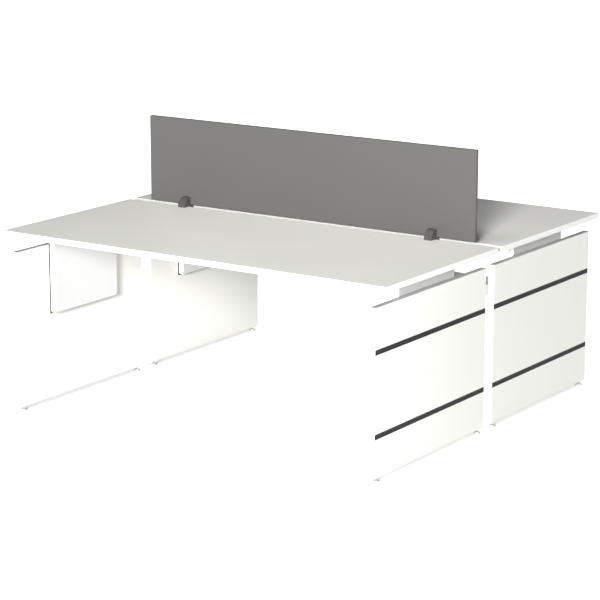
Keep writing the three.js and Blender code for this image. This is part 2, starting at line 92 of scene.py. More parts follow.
def length(name, description, default):
    """A size in metres."""
    return FloatProperty(
        name=name, description=description, default=default, min=0, precision=5, unit="LENGTH")


def count(name, description, default):
    """A number of like things."""
    return IntProperty(name=name, description=description, default=default, min=1)


def colour(name, description, default):
    """A colour as the finish reflects it."""
    return FloatVectorProperty(
        name=name, description=description, default=default, size=3, min=0, max=1, subtype="COLOR")


def angle(name, description, degrees):
    """A turn, given in degrees."""
    return FloatProperty(
        name=name, description=description, default=math.radians(degrees), subtype="ANGLE")


def strength(name, description, default, unit="NONE"):
    """How strong a light is."""
    return FloatProperty(name=name, description=description, default=default, min=0, unit=unit)


class DeskSizes(bpy.types.PropertyGroup):
    """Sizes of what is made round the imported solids"""

    band: length("Edge band", "Thickness of the edging", 0.002)
    band_arris: length("Edge band arris", "Radius on the edging's arrises", 0.0015)
    panel_corner: length("Board corner", "Corner radius of panels and risers", 0.0026)
    riser_corner: length("Riser corner", "Radius of a riser's lower corners", 0.010)
    rebate_depth: length("Rebate depth", "Depth of the rebate round a riser's back", 0.003)
    rebate_width: length("Rebate width", "Width of that rebate", 0.010)
    # Width of the painted shadow round a riser
    seat_shadow_margin: length("Seat margin", "Width of the dark seat round a riser", 0.004)
    screen_corner: length("Screen corner", "Radius of the screen's corners", 0.004)
    worktop_corner: length("Worktop corner", "Radius of a worktop's corners", 0.005)
    strip_arris: length("Inlay arris", "Radius on the inlay strip's arrises", 0.0004)
    fit: length("Fit", "Clearance round an inlay, an insert or a bolt", 0.0003)
    seat: length("Seat", "Clearance under a piece that rests on another", 0.0001)
    saddle_arris: length("Saddle arris", "Radius on the saddle's arrises", 0.0012)
    bolt: length("Bolt", "Diameter of bolts and studs", 0.008)
    pitch: length("Pitch", "Pitch of the thread on bolts and studs", 0.00125)
    thread: length("Thread depth", "Depth of that thread", 0.0007)
    hexagon: length("Hexagon", "Across the flats of heads and collars", 0.013)
    head: length("Bolt head", "Height of the clamp bolt's head", 0.005)
    collar: length("Collar", "Height of the stud's collar", 0.006)
    plate_corner: length("Plate corner", "Radius of the pressure plate's corners", 0.008)
    plate_arris: length("Plate arris", "Radius on the pressure plate's arrises", 0.0008)
    lobe: length("Knob lobe", "Depth of the knob's scallops", 0.0025)
    knob_arris: length("Knob arris", "Radius on the knob's rim", 0.003)
    hub: length("Knob hub", "Radius of the knob's hub", 0.009)
    hub_height: length("Knob hub height", "How far the hub stands above the wheel", 0.005)
    pad_rim: length("Pad rim", "Height of a foot pad's rim", 0.003)
    pad_socket: length("Pad socket", "Depth of a foot pad's socket", 0.004)
    insert_barrel: length("Insert barrel", "Radius of a foot insert's barrel", 0.007)
    insert_flange: length("Insert flange", "Thickness of a foot insert's flange", 0.0015)
    moulding: length("Moulded corner", "Radius on the corners of pads and inserts", 0.0008)
    screw_head: length("Screw head", "Radius of the pan-head wood screws", 0.0046)
    screw_height: length("Screw height", "Height of those heads", 0.0030)
    recess: length("Screw recess", "Width of a leg of the cross recess", 0.0012)
    angle_sheet: length("Angle sheet", "Thickness of the steel angles", 0.0025)
    angle_hole: length("Angle hole", "From an angle's corner to its screws", 0.017)
    angle_pitch: length("Angle pitch", "Between screws along an angle", 0.080)
    tray_sheet: length("Tray sheet", "Thickness of the cable tray's sheet", 0.0015)
    tray_drop: length("Tray flange", "Depth of the tray's end flanges", 0.040)
    tray_screw: length("Tray screw", "From a flange's edges to its screws", 0.011)
    tray_screw_out: length("Tray screw spread", "From the middle of the tray to its screws", 0.0495)
    rail_pitch: length("Rail pitch", "Between screws along a stiffening rail", 0.340)
    angle_screws: count("Angle screws", "Screws in each leg of an angle", 4)
    rail_screws: count("Rail screws", "Screws along a rail", 5)
    knob_lobes: count("Knob lobes", "Lobes of the star knob", 6)
    arris_steps: count("Arris steps", "Facets across an eased arris", 4)
    corner_steps: count("Corner steps", "Facets round a quarter turn", 10)
    round_steps: count("Round steps", "Facets round a full turn", 48)


class DeskColours(bpy.types.PropertyGroup):
    """Colours of the finishes"""

    worktop: colour("Worktop", "Pale warm grey laminate", (0.747, 0.742, 0.705))
    edge_band: colour("Edge band", "White edging", (0.91, 0.908, 0.875))
    # Painted shade: grey on the sides of the cable slot
    slot_side_shade: colour("Slot side", "Grey edging on the sides of the cable slot", (0.46, 0.455, 0.44))
    white_board: colour("White board", "White laminate", (0.87, 0.867, 0.822))
    riser: colour("Riser", "White laminate of the risers, a shade greyer", (0.735, 0.735, 0.720))
    # Painted shade: grey on the top edge of a panel, under the worktop
    panel_top: colour("Panel top", "Grey sealing on the top edge of a panel", (0.42, 0.42, 0.41))
    # Painted shadow, dark round and under each riser
    riser_seat: colour("Riser seat", "Dark paint where a riser lies on its panel", (0.03, 0.03, 0.03))
    inlay: colour("Inlay", "Dark grey strip", (0.0160, 0.0155, 0.0162))
    screen: colour("Screen", "Mid grey laminate", (0.0815, 0.0805, 0.0755))
    screen_edge: colour("Screen edge", "Its edging, a shade darker", (0.07498, 0.07406, 0.06946))
    clamp: colour("Clamp", "Dark grey powder coat", (0.060, 0.059, 0.057))
    painted_steel: colour("Painted steel", "White powder coat", (0.80, 0.80, 0.78))
    zinc_steel: colour("Zinc", "Bright zinc plate", (0.60, 0.62, 0.64))
    knob: colour("Knob", "Black moulding", (0.022, 0.022, 0.023))
    foot_pad: colour("Foot pad", "Pale grey moulding", (0.50, 0.50, 0.49))
    floor: colour("Floor", "Pale studio floor", (0.93, 0.93, 0.925))
    light: colour("Light", "Studio light", (1.0, 1.0, 1.0))


class StudioLook(bpy.types.PropertyGroup):
    """Camera and light"""

    camera_place: FloatVectorProperty(
        name="Camera", description="Where the camera stands", default=(5.0379, -7.4717, 2.5440),
        size=3, subtype="TRANSLATION", unit="LENGTH")
    camera_yaw: angle("Yaw", "How far the view turns from +Y", 34.161)
    camera_pitch: angle("Pitch", "How far the view looks down", 13.309)
    lens: FloatProperty(
        name="Lens", description="Focal length on a 36 mm sensor", default=135.846, unit="CAMERA")
    sky: strength("Sky", "Strength of the even light all round", 0.08)
    key: strength("Key light", "Strength of the broad light from the front", 6.6)
    key_heading: angle("Key heading", "How far to the right of the front it comes from", 20)
    key_height: angle("Key height", "How far above the horizon it comes from", 15)
    back: strength("Back light", "Strength of the broad light from behind", 3.2)
    back_heading: angle("Back heading", "How far round from the front it comes from", 235)
    back_height: angle("Back height", "How far above the horizon it comes from", 0)
    spread: angle("Spread", "How broad the key and back lights are", 16)
    top_power: strength("Top light", "Power of the light over the desk", 35, "POWER")
    knee_power: strength("Knee light", "Power of the light into the knee space", 41, "POWER")
    bounce_power: strength("Bounce light", "Power of the light under the desk", 2, "POWER")
    floor_glow: strength("Floor glow", "Even light from the floor itself", 1.1)
    floor_size: length("Floor", "Side of the square floor", 120)
    backdrop: length("Backdrop", "Radius of the wall round the studio", 45)
    backdrop_height: length("Backdrop height", "Height of that wall", 40)


class Reading:
    """One output of a shader node, which maths can be written with."""

    def __init__(self, finish, socket):
        self.finish = finish
        self.socket = socket

    def maths(self, operation, first, second):
        return self.finish.node("ShaderNodeMath", {"operation": operation}, {0: first, 1: second})

    def __add__(self, other):
        return self.maths("ADD", self, other)

    __radd__ = __add__

    def __sub__(self, other):
        return self.maths("SUBTRACT", self, other)

    def __rsub__(self, other):
        return self.maths("SUBTRACT", other, self)

    def __mul__(self, other):
        return self.maths("MULTIPLY", self, other)

    __rmul__ = __mul__

    def __abs__(self):
        return self.finish.node("ShaderNodeMath", {"operation": "ABSOLUTE"}, {0: self})


class Finish:
    """A material while it is being mixed."""

    def __init__(self, name):
        self.material = bpy.data.materials.new(name)
        self.material.use_nodes = True
        self.tree = self.material.node_tree
        self.shader = self.tree.nodes["Principled BSDF"]

    def feed(self, socket, value):
        """Links a reading to a socket, or sets the socket to a plain value."""
        if isinstance(value, Reading):
            self.tree.links.new(value.socket, socket)
        else:
            socket.default_value = value

    def node(self, kind, settings=None, sockets=None, output=0):
        """A new node with its settings, then its sockets, as a reading of one of its outputs."""
        made = self.tree.nodes.new(kind)
        for setting, value in (settings or {}).items():
            setattr(made, setting, value)
        for socket, value in (sockets or {}).items():
            self.feed(made.inputs[socket], value)
        return Reading(self, made.outputs[output])

    def surface(self, face, polish, relief=None, shade_paints=(), **sockets):
        """The material with painted shade on its face where asked. Sockets have underscores for spaces.
        """
        for paint in shade_paints:
            face = paint(self, face, bpy.context.scene)
        sockets = {"Base Color": face, "Roughness": polish, **sockets}
        if relief:
            sockets["Normal"] = relief
        for socket, value in sockets.items():
            self.feed(self.shader.inputs[socket.replace("_", " ")], value)
        return self.material

    def place(self, stretch=(1, 1, 1)):
        """The point on the piece in metres, drawn out along the axes."""
        point = self.node("ShaderNodeTexCoord", output="Object")
        return self.node("ShaderNodeVectorMath", {"operation": "MULTIPLY"}, {0: point, 1: stretch})

    def along(self, axis):
        """How far along X, Y or Z the point lies."""
        return self.node("ShaderNodeSeparateXYZ", {}, {0: self.place()}, output=axis)

    def noise(self, scale=1.0, stretch=(1, 1, 1), detail=2.0, roughness=0.5):
        """Noise about zero, within half either way."""
        place = self.place(stretch)
        sockets = {"Vector": place, "Scale": scale, "Detail": detail, "Roughness": roughness}
        return self.node("ShaderNodeTexNoise", {}, sockets) - 0.5

    def step(self, value, start, end):
        """A smooth rise from nought to one between two values."""
        sockets = {"Value": value, "From Min": start, "From Max": end}
        return self.node("ShaderNodeMapRange", {"interpolation_type": "SMOOTHSTEP"}, sockets)

    def within(self, value, low, high):
        """One between two values and nought outside them."""
        return self.step(value, low - PAINT_EDGE, low) * (1 - self.step(value, high, high + PAINT_EDGE))

    def blend(self, share, first, second):
        """One colour turning into another."""
        sockets = {"Factor": share, 6: solid(first), 7: solid(second)}
        return self.node("ShaderNodeMix", {"data_type": "RGBA"}, sockets, output=2)

    def mottled(self, base, contrast, pattern):
        """A colour that turns a little darker and lighter with a pattern about zero."""
        return self.blend(0.5 + pattern, shade(base, 1 - contrast), shade(base, 1 + contrast))

    def relief(self, height, depth, strength=1.0):
        """A fine relief for the Normal socket."""
        sockets = {"Strength": strength, "Distance": depth, "Height": height}
        return self.node("ShaderNodeBump", {}, sockets)


def solid(value):
    """A colour of three numbers with full alpha; a reading passes as it is."""
    return value if isinstance(value, Reading) else (*value, 1.0)


def shade(base, factor):
    """A colour made darker or lighter."""
    return tuple(min(1.0, channel * factor) for channel in base)


def riser_seat(finish, face, scene):
    """Painted shadow on the seat of a riser: dark on its rebate and on a narrow margin of the panel
    round it, up to the panel's top.
    """
    low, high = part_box("riser_front_right")
    panel_low, panel_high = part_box("end_panel_front_right")
    margin = scene.desk_sizes.seat_shadow_margin
    back = high.x - scene.desk_sizes.rebate_depth
    painted = (finish.within(abs(finish.along("X")), back, panel_low.x)
               * finish.within(abs(finish.along("Y")), -high.y - margin, margin - low.y)
               * finish.within(finish.along("Z"), low.z - margin, panel_high.z))
    return finish.blend(painted, face, scene.desk_colours.riser_seat)


def riser_foot_shadow(finish, face, scene):
    """Painted shadow on the lower edge of a riser, the same dark as round its seat."""
    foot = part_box("riser_front_right")[0].z
    above = finish.step(
        finish.along("Z"), foot + scene.desk_sizes.band_arris, foot + scene.desk_sizes.band)
    return finish.blend(above, scene.desk_colours.riser_seat, face)


def panel_top_shade(finish, face, scene):
    """Painted shade: grey on the top edge of an end panel, which lies in the worktop's shade."""
    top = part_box("end_panel_front_right")[1].z
    arris = scene.desk_sizes.band_arris
    top_shade = finish.step(finish.along("Z"), top - arris, top - arris / 2)
    return finish.blend(top_shade, face, scene.desk_colours.panel_top)


def slot_side_shade(finish, face, scene):
    """Painted shade: grey on the edging where two worktops face each other across the cable slot."""
    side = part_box("edge_band_rear")[0].y
    arris = scene.desk_sizes.band_arris
    outside = finish.step(abs(finish.along("Y")), side + arris / 4, side + arris / 2)
    return finish.blend(outside, scene.desk_colours.slot_side_shade, face)


def laminate(finish, base, speckle, gloss, grain=1400.0, kick=0.0, shade_paints=()):
    """Pressed laminate: a fine pearl emboss, a faint speckle, and scuffs or painted shade where asked.
    """
    pearl = finish.noise(grain, detail=3.0, roughness=0.6)
    cloud = finish.noise(scale=2.5)
    face = finish.mottled(base, speckle, pearl * 1.4 + cloud * 0.8)
    polish = gloss + pearl * 0.16 + cloud * 0.06
    if kick:
        streak = finish.noise(stretch=(9.0, 9.0, 70.0), detail=4.0, roughness=0.65)
        scuff = finish.step(streak, *SCUFFED) * (1 - finish.step(finish.along("Z"), *KICKED)) * kick
        face = finish.blend(scuff, face, shade(base, SCUFF_SHADE))
        polish = polish + scuff * SCUFF_DULL
    return finish.surface(face, polish, finish.relief(pearl, depth=0.00006, strength=0.6), shade_paints)


def edging(finish, base, gloss=0.36, shade_paints=()):
    """Scraped plastic edging: faint lines along its run, uneven gloss, and painted shade where asked.
    """
    scrape = finish.noise(stretch=(60.0, 60.0, 2600.0))
    drift = finish.noise(scale=9.0)
    face = finish.mottled(base, 0.015, scrape + drift)
    polish = gloss + scrape * 0.12 + drift * 0.10
    return finish.surface(face, polish, finish.relief(scrape, depth=0.00004, strength=0.5), shade_paints)


def brushed_strip(finish, base):
    """Dark strip, brushed along its length."""
    brush = finish.noise(stretch=(30.0, 12.0, 2400.0), detail=3.0, roughness=0.6)
    drift = finish.noise(scale=5.0)
    face = finish.blend(0.5 + brush + drift, shade(base, 0.80), shade(base, 1.25))
    relief = finish.relief(brush, depth=0.00005, strength=0.6)
    return finish.surface(face, 0.50 + brush * 0.22, relief, Specular_IOR_Level=0.1)


def powder_coat(finish, base, gloss):
    """Stoved powder coat: orange peel, and thinner on a fine scale."""
    peel = finish.noise(scale=620.0, detail=1.0)
    fleck = finish.noise(scale=2600.0)
    face = finish.mottled(base, 0.06, peel + fleck * 0.6)
    polish = gloss + peel * 0.14 + fleck * 0.08
    return finish.surface(face, polish, finish.relief(peel, depth=0.00012, strength=0.7))


def zinc_plate(finish, base):
    """Bright zinc with a faint blue and straw passivation and drawn lines."""
    cast = finish.noise(scale=140.0, detail=3.0)
    drawn = finish.noise(stretch=(900.0, 900.0, 60.0))
    cool = tuple(channel * tint for channel, tint in zip(base, ZINC_COOL))
    warm = tuple(channel * tint for channel, tint in zip(base, ZINC_WARM))
    face = finish.blend(finish.step(cast, -0.18, 0.18), cool, warm)
    polish = 0.34 + cast * 0.25 + drawn * 0.15
    relief = finish.relief(drawn, depth=0.00003, strength=0.5)
    return finish.surface(face, polish, relief, Metallic=1.0)


def moulded(finish, base, gloss):
    """Moulded plastic with an eroded texture."""
    spark = finish.noise(scale=2400.0, roughness=0.6)
    flow = finish.noise(scale=90.0)
    face = finish.mottled(base, 0.12, spark + flow)
    polish = gloss + spark * 0.20 + flow * 0.08
    return finish.surface(face, polish, finish.relief(spark, depth=0.00006, strength=0.8))


def floor_paint(finish, base):
    """Pale studio floor, faintly uneven, which glows but for the places that are closely covered."""
    face = finish.mottled(base, 0.005, finish.noise(scale=0.6))
    openness = finish.node(
        "ShaderNodeAmbientOcclusion", {"samples": 8}, {"Distance": CONTACT}, output="AO")
    glow = finish.blend(openness * openness, shade(base, 0), face)
    return finish.surface(
        face, 0.85, Specular_IOR_Level=0.1, Emission_Color=glow,
        Emission_Strength=bpy.context.scene.desk_studio.floor_glow)


# Each finish: the material's name, how it is made, its colour, and the rest of its recipe
FINISHES = {
    "worktop": ("grey pearl laminate", laminate, "worktop", {"speckle": 0.035, "gloss": 0.46}),
    # Painted shade: worktop edging is grey on the sides of the cable slot, panel edging on its top
    # edge, and boards and edging round each riser carry a painted shadow
    "edge_band": ("white edging", edging, "edge_band", {"shade_paints": [slot_side_shade]}),
    "white_board": ("white pearl laminate", laminate, "white_board", {
        "speckle": 0.012, "gloss": 0.42, "kick": 0.12, "shade_paints": [riser_seat]}),
    "panel edging": ("white panel edging", edging, "edge_band", {"shade_paints": [panel_top_shade]}),
    "riser": ("white riser laminate", laminate, "riser", {
        "speckle": 0.012, "gloss": 0.42, "shade_paints": [riser_seat]}),
    "riser edging": ("white riser edging", edging, "edge_band", {"shade_paints": [riser_foot_shadow, riser_seat]}),
    "inlay": ("brushed dark strip", brushed_strip, "inlay", {}),
    "screen": ("mid grey laminate", laminate, "screen", {
        "speckle": 0.05, "gloss": 0.55, "grain": 1800.0}),
    "screen edging": ("mid grey edging", edging, "screen_edge", {"gloss": 0.48}),
    "clamp": ("dark powder coat", powder_coat, "clamp", {"gloss": 0.46}),
    "painted_steel": ("white powder coat", powder_coat, "painted_steel", {"gloss": 0.40}),
    "zinc_steel": ("zinc plate", zinc_plate, "zinc_steel", {}),
    "knob": ("black moulding", moulded, "knob", {"gloss": 0.52}),
    "foot_pad": ("pale moulding", moulded, "foot_pad", {"gloss": 0.50}),
    "floor": ("pale floor", floor_paint, "floor", {}),
}
mixed = {}


def finish_of(kind):
    """The material of that kind, mixed once."""
    if kind not in mixed:
        name, make, base, recipe = FINISHES[kind]
        mixed[kind] = make(Finish(name), getattr(bpy.context.scene.desk_colours, base), **recipe)
    return mixed[kind]


def dress(node, slot):
    """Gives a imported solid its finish."""
    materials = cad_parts[node].data.materials
    materials.clear()
    materials.append(finish_of(slot))


def arc(centre, radius, start, end, steps):
    """Points along an arc, both ends included."""
    x, y = centre
    angles = [start + (end - start) * i / steps for i in range(steps + 1)]
    return [Vector((x + radius * math.cos(a), y + radius * math.sin(a))) for a in angles]


def rounded_rectangle(width, height, lower, upper, steps):
    """A rectangle about zero with one radius for its lower and one for its upper corners."""
    x, y = width / 2, height / 2
    quarter = math.pi / 2
    return [
        *arc((x - lower, lower - y), lower, -quarter, 0, steps),
        *arc((x - upper, y - upper), upper, 0, quarter, steps),
        *arc((upper - x, y - upper), upper, quarter, 2 * quarter, steps),
        *arc((lower - x, lower - y), lower, 2 * quarter, 3 * quarter, steps),
    ]


def inset_outline(points, distance):
    """An outline drawn in by the same distance on every side."""
    drawn = []
    for i, here in enumerate(points):
        before = (here - points[i - 1]).normalized()
        after = (points[(i + 1) % len(points)] - here).normalized()
        inward = Vector((-before.y - after.y, before.x + after.x))
        drawn.append(here + inward * (2 * distance / inward.length_squared))
    return drawn


def eased_corners(points, radius, steps):
    """A turned profile with its inner corners rounded off."""
    eased = [points[0]]
    for before, here, after in zip(points, points[1:], points[2:]):
        back, on = before - here, after - here
        reach = min(radius, back.length / 2, on.length / 2)
        start, end = here + back.normalized() * reach, here + on.normalized() * reach
        for i in range(steps + 1):
            t = i / steps
            eased.append(start * (1 - t) ** 2 + here * (2 * t * (1 - t)) + end * t ** 2)
    eased.append(points[-1])
    return eased


def eased_section(half, arris, steps):
    """Inset and level up a board's edge, with both arrises rounded."""
    turns = [math.pi / 2 * i / steps for i in range(steps + 1)]
    lower = [(arris * (1 - math.sin(t)), arris * (1 - math.cos(t)) - half) for t in turns]
    return lower + [(inset, -level) for inset, level in reversed(lower)]


def loft(rings, loop=False):
    """A mesh through rings of points, closed by caps or, as a loop, back on its first ring."""
    mesh = bmesh.new()
    rows = [[mesh.verts.new(point) for point in ring] for ring in rings]
    pairs = list(zip(rows, rows[1:]))
    if loop:
        pairs.append((rows[-1], rows[0]))
    for low, high in pairs:
        for i in range(len(low)):
            j = (i + 1) % len(low)
            mesh.faces.new((low[i], low[j], high[j], high[i]))
    if not loop:
        mesh.faces.new(rows[0])
        mesh.faces.new(rows[-1])
    return mesh


def swept(outline, section, stance=LYING, centre=(0, 0, 0), loop=False):
    """A mesh whose outline is drawn in and raised by each step of a section, in the desk's axes."""
    rings = []
    for inset, level in section:
        drawn = inset_outline(outline, inset)
        rings.append([Vector(centre) + stance @ Vector((p.x, p.y, level)) for p in drawn])
    return loft(rings, loop)


def slab(outline, thickness, arris, steps, stance=LYING, centre=(0, 0, 0)):
    """A sheet or board of that outline, with eased arrises where there is an arris."""
    half = thickness / 2
    section = eased_section(half, arris, steps) if arris else [(0, -half), (0, half)]
    return swept(outline, section, stance, centre)


def edging_ring(outline, thickness, sizes, stance=LYING, centre=(0, 0, 0)):
    """Edging round that outline, with its outer arrises eased."""
    half = thickness / 2
    eased = eased_section(half, sizes.band_arris, sizes.arris_steps)
    section = [(sizes.band, -half), *eased, (sizes.band, half)]
    return swept(outline, section, stance, centre, loop=True)


def turned(profile, steps, loop=False):
    """A profile of radius and height turned about the upright axis."""
    turns = [2 * math.pi * i / steps for i in range(steps)]
    rings = [[Vector((p.x * math.cos(t), p.x * math.sin(t), p.y)) for t in turns] for p in profile]
    mesh = loft(rings, loop)
    bmesh.ops.remove_doubles(mesh, verts=mesh.verts, dist=SAME_POINT)
    return mesh


def round_bar(radius, bottom, top, steps):
    """A round bar or drill about the upright axis."""
    circle = arc((0, 0), radius, 0, 2 * math.pi, steps)[:-1]
    return swept(circle, [(0, bottom), (0, top)])


def hexagon_bar(across, bottom, top, arris):
    """A hexagonal head with its corners turned off above and below."""
    flat = arc((0, 0), across / math.sqrt(3), 0, 2 * math.pi, 6)[:-1]
    levels = [(arris, bottom), (0, bottom + arris / 2), (0, top - arris / 2), (arris, top)]
    return swept(flat, levels)


def block(low, high):
    """A plain block between two corners, as a cutter."""
    x0, y0, z0 = low
    x1, y1, z1 = high
    corners = [Vector(p) for p in ((x0, y0), (x1, y0), (x1, y1), (x0, y1))]
    return swept(corners, [(0, z0), (0, z1)])


def bolt_drill(sizes, bottom, top):
    """A drill that clears a bolt."""
    return round_bar(sizes.bolt / 2 + sizes.fit, bottom, top, sizes.round_steps)


def threaded_bar(sizes, bottom, top):
    """The bar of a bolt or stud with its helical thread, cut square at both ends."""
    radius, pitch, steps = sizes.bolt / 2, sizes.pitch, sizes.round_steps
    mesh = bmesh.new()
    turns = math.ceil((top - bottom) / pitch) + 3
    rows = []
    for turn in range(turns):
        for share, crest in THREAD_SECTION:
            reach = radius - sizes.thread * (1 - crest)
            row = []
            for step in range(steps):
                around = 2 * math.pi * step / steps
                height = bottom + (turn - 1 + share + step / steps) * pitch
                row.append(mesh.verts.new((reach * math.cos(around), reach * math.sin(around), height)))
            rows.append(row)
    lead = len(THREAD_SECTION)
    for low, high in zip(rows, rows[1:]):
        for i in range(steps - 1):
            mesh.faces.new((low[i], low[i + 1], high[i + 1], high[i]))
    for i in range(len(rows) - lead - 1):
        mesh.faces.new((rows[i][-1], rows[i + lead][0], rows[i + lead + 1][0], rows[i + 1][-1]))
    for level, is_bottom in ((bottom, True), (top, False)):
        everything = [*mesh.verts, *mesh.edges, *mesh.faces]
        bmesh.ops.bisect_plane(
            mesh, geom=everything, plane_co=(0, 0, level), plane_no=(0, 0, 1),
            clear_inner=is_bottom, clear_outer=not is_bottom)
    bmesh.ops.holes_fill(mesh, edges=mesh.edges, sides=0)
    return mesh


def in_scene(name, mesh):
    """A mesh as an object in the scene. The mesh is used up."""
    data = bpy.data.meshes.new(name)
    mesh.to_mesh(data)
    mesh.free()
    made = bpy.data.objects.new(name, data)
    bpy.context.scene.collection.objects.link(made)
    return made


def on_bench(mesh):
    """A mesh as an object for the length of one cut."""
    bmesh.ops.recalc_face_normals(mesh, faces=mesh.faces)
    return in_scene("blank", mesh)


def worked(body, tools, operation):
    """A mesh after each tool has been cut out of it or joined to it. The tools are used up."""
    work = on_bench(body)
    helpers = [on_bench(tool) for tool in tools]
    for helper in helpers:
        step = work.modifiers.new("step", "BOOLEAN")
        step.operation = operation
        step.solver = "EXACT"
        step.object = helper
    result = bmesh.new()
    result.from_object(work, bpy.context.evaluated_depsgraph_get())
    for blank in (work, *helpers):
        data = blank.data
        bpy.data.objects.remove(blank)
        bpy.data.meshes.remove(data)
    return result


def cut(body, tools):
    """A mesh less its tools."""
    return worked(body, tools, "DIFFERENCE")


def join(body, others):
    """Meshes as one."""
    return worked(body, others, "UNION")


def moved(mesh, offset):
    """A mesh shifted to its place."""
    bmesh.ops.translate(mesh, verts=mesh.verts, vec=offset)
    return mesh


def piece(name, mesh, finish, slot, body=DESK, stands_for=()):
    """A finished piece: closed, smooth between its sharp edges, and carried by its body."""
    if any(not edge.is_manifold for edge in mesh.edges):
        raise RuntimeError(f"{name} isn't closed")
    bmesh.ops.recalc_face_normals(mesh, faces=mesh.faces)
    made = in_scene(name, mesh)
    made.data.shade_smooth()
    made.data.set_sharp_from_angle(angle=SHARP_EDGE)
    made.data.materials.append(finish_of(finish))
    made.modifiers.new("even shading", "WEIGHTED_NORMAL").keep_sharp = True
    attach(made, body)
    if stands_for:
        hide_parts(*stands_for)
    return made


def middle_of(node):
    """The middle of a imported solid's box."""
    low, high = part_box(node)
    return (low + high) / 2


def banded_board(stem, node, stance, corners, faces, edges, slots, cutters=(), ring_cutters=()):
    """A board in the place of a solid: a faced core inside a ring of edging, both cut where asked."""
    sizes = bpy.context.scene.desk_sizes
    low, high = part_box(node)
    across, up, through = (abs(extent) for extent in stance.transposed() @ (high - low))
    outline = rounded_rectangle(across, up, *corners, sizes.corner_steps)
    centre = middle_of(node)
    core = slab(inset_outline(outline, sizes.band), through, 0, 0, stance, centre)
    if cutters:
        core = cut(core, cutters)
    ring = edging_ring(outline, through, sizes, stance, centre)
    if ring_cutters:
        ring = cut(ring, ring_cutters)
    piece(f"{stem}_board", core, faces, slots[0], stands_for=[node])
    piece(f"{stem}_edging", ring, edges, slots[1])


def make_sets(group, places, kinds):
    """Each kind of piece of a clamp or foot at each place, on a body of its own where it moves."""
    for place in places:
        for kind, make, slot, moves in kinds:
            node = f"{group}_{kind}_{place}"
            mesh = moved(make(node, bpy.context.scene.desk_sizes), (*middle_of(node).xy, 0))
            piece(f"{kind}_{place}", mesh, slot, slot, node if moves else DESK, [node])


def spread(number, pitch):
    """Evenly spaced places about zero."""
    return [(i - (number - 1) / 2) * pitch for i in range(number)]


def screw_head(sizes):
    """A pan head with a cross recess, seated at zero height and facing up."""
    radius, height = sizes.screw_head, sizes.screw_height
    floor, reach = height * HEAD_RIM, radius * HEAD_FLAT
    rim = [Vector(p) for p in ((0, 0), (radius, 0), (radius, floor), (reach, height), (0, height))]
    head = turned(eased_corners(rim, radius * HEAD_EASE, sizes.arris_steps), sizes.round_steps // 2)
    half, over = sizes.recess / 2, height * 2
    return cut(head, [
        block((-reach, -half, floor), (reach, half, over)),
        block((-half, -reach, floor), (half, reach, over)),
    ])


def driven_screws(name, places, chance):
    """A group of wood screws: each place is a seat and the way its head faces."""
    head = bpy.data.meshes.new("screw head")
    screw = screw_head(bpy.context.scene.desk_sizes)
    screw.to_mesh(head)
    screw.free()
    group = bmesh.new()
    for seat, facing in places:
        before = set(group.verts)
        group.from_mesh(head)
        new = [vert for vert in group.verts if vert not in before]
        lean = Vector(facing).to_track_quat("Z", "Y").to_matrix().to_4x4()
        twist = Matrix.Rotation(chance.uniform(0, math.pi / 2), 4, "Z")
        bmesh.ops.transform(group, matrix=Matrix.Translation(seat) @ lean @ twist, verts=new)
    bpy.data.meshes.remove(head)
    piece(name, group, "zinc_steel", "zinc_steel")


class DESK_OT_worktops(bpy.types.Operator):
    """Finish the worktops and run an eased edging round each"""

    bl_idname = "desk.worktops"
    bl_label = "Worktops"

    def execute(self, context):
        sizes = context.scene.desk_sizes
        for row in ROWS:
            dress(f"worktop_{row}", "worktop")
            node = f"edge_band_{row}"
            low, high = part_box(node)
            across, deep, thick = high - low
            corner = sizes.worktop_corner
            outline = rounded_rectangle(across, deep, corner, corner, sizes.corner_steps)
            ring = edging_ring(outline, thick, sizes, centre=middle_of(node))
            piece(f"worktop_edging_{row}", ring, "edge_band", "edge_band", stands_for=[node])
        return {"FINISHED"}


class DESK_OT_end_panels(bpy.types.Operator):
    """Make the four end panels, grooved and bored, and the strips let into them"""

    bl_idname = "desk.end_panels"
    bl_label = "End panels and inlays"

    def grooves(self, corner, sizes):
        """Cutters for the two grooves, open past the outer face and the ends."""
        left, right = sizes.band, sizes.seat
        if corner.endswith("right"):
            left, right = right, left
        for level in LEVELS:
            low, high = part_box(f"inlay_{corner}_{level}")
            low -= Vector((left, sizes.band, sizes.seat))
            high += Vector((right, sizes.band, sizes.seat))
            yield block(low, high)

    def sockets(self, corner, sizes):
        """Drills for the inserts of the levelling feet."""
        for end in ENDS:
            node = f"foot_insert_{corner}_{end}"
            low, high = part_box(node)
            radius = sizes.insert_barrel + sizes.fit
            drill = round_bar(radius, low.z, high.z + sizes.seat, sizes.round_steps)
            yield moved(drill, (*middle_of(node).xy, 0))

    def execute(self, context):
        sizes = context.scene.desk_sizes
        corners = (sizes.panel_corner, sizes.panel_corner)
        for corner in CORNERS:
            cutters = [*self.grooves(corner, sizes), *self.sockets(corner, sizes)]
            banded_board(
                f"panel_{corner}", f"end_panel_{corner}", FACING_X, corners,
                "white_board", "panel edging", ("white_board", "edge_band"), cutters)
            for level in LEVELS:
                node = f"inlay_{corner}_{level}"
                low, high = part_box(node)
                through, across, up = high - low
                arris, steps = sizes.strip_arris, sizes.arris_steps
                outline = rounded_rectangle(across, up, arris * 2, arris * 2, steps)
                strip = slab(outline, through, arris, steps, FACING_X, middle_of(node))
                piece(f"strip_{corner}_{level}", strip, "inlay", "inlay", stands_for=[node])
        return {"FINISHED"}


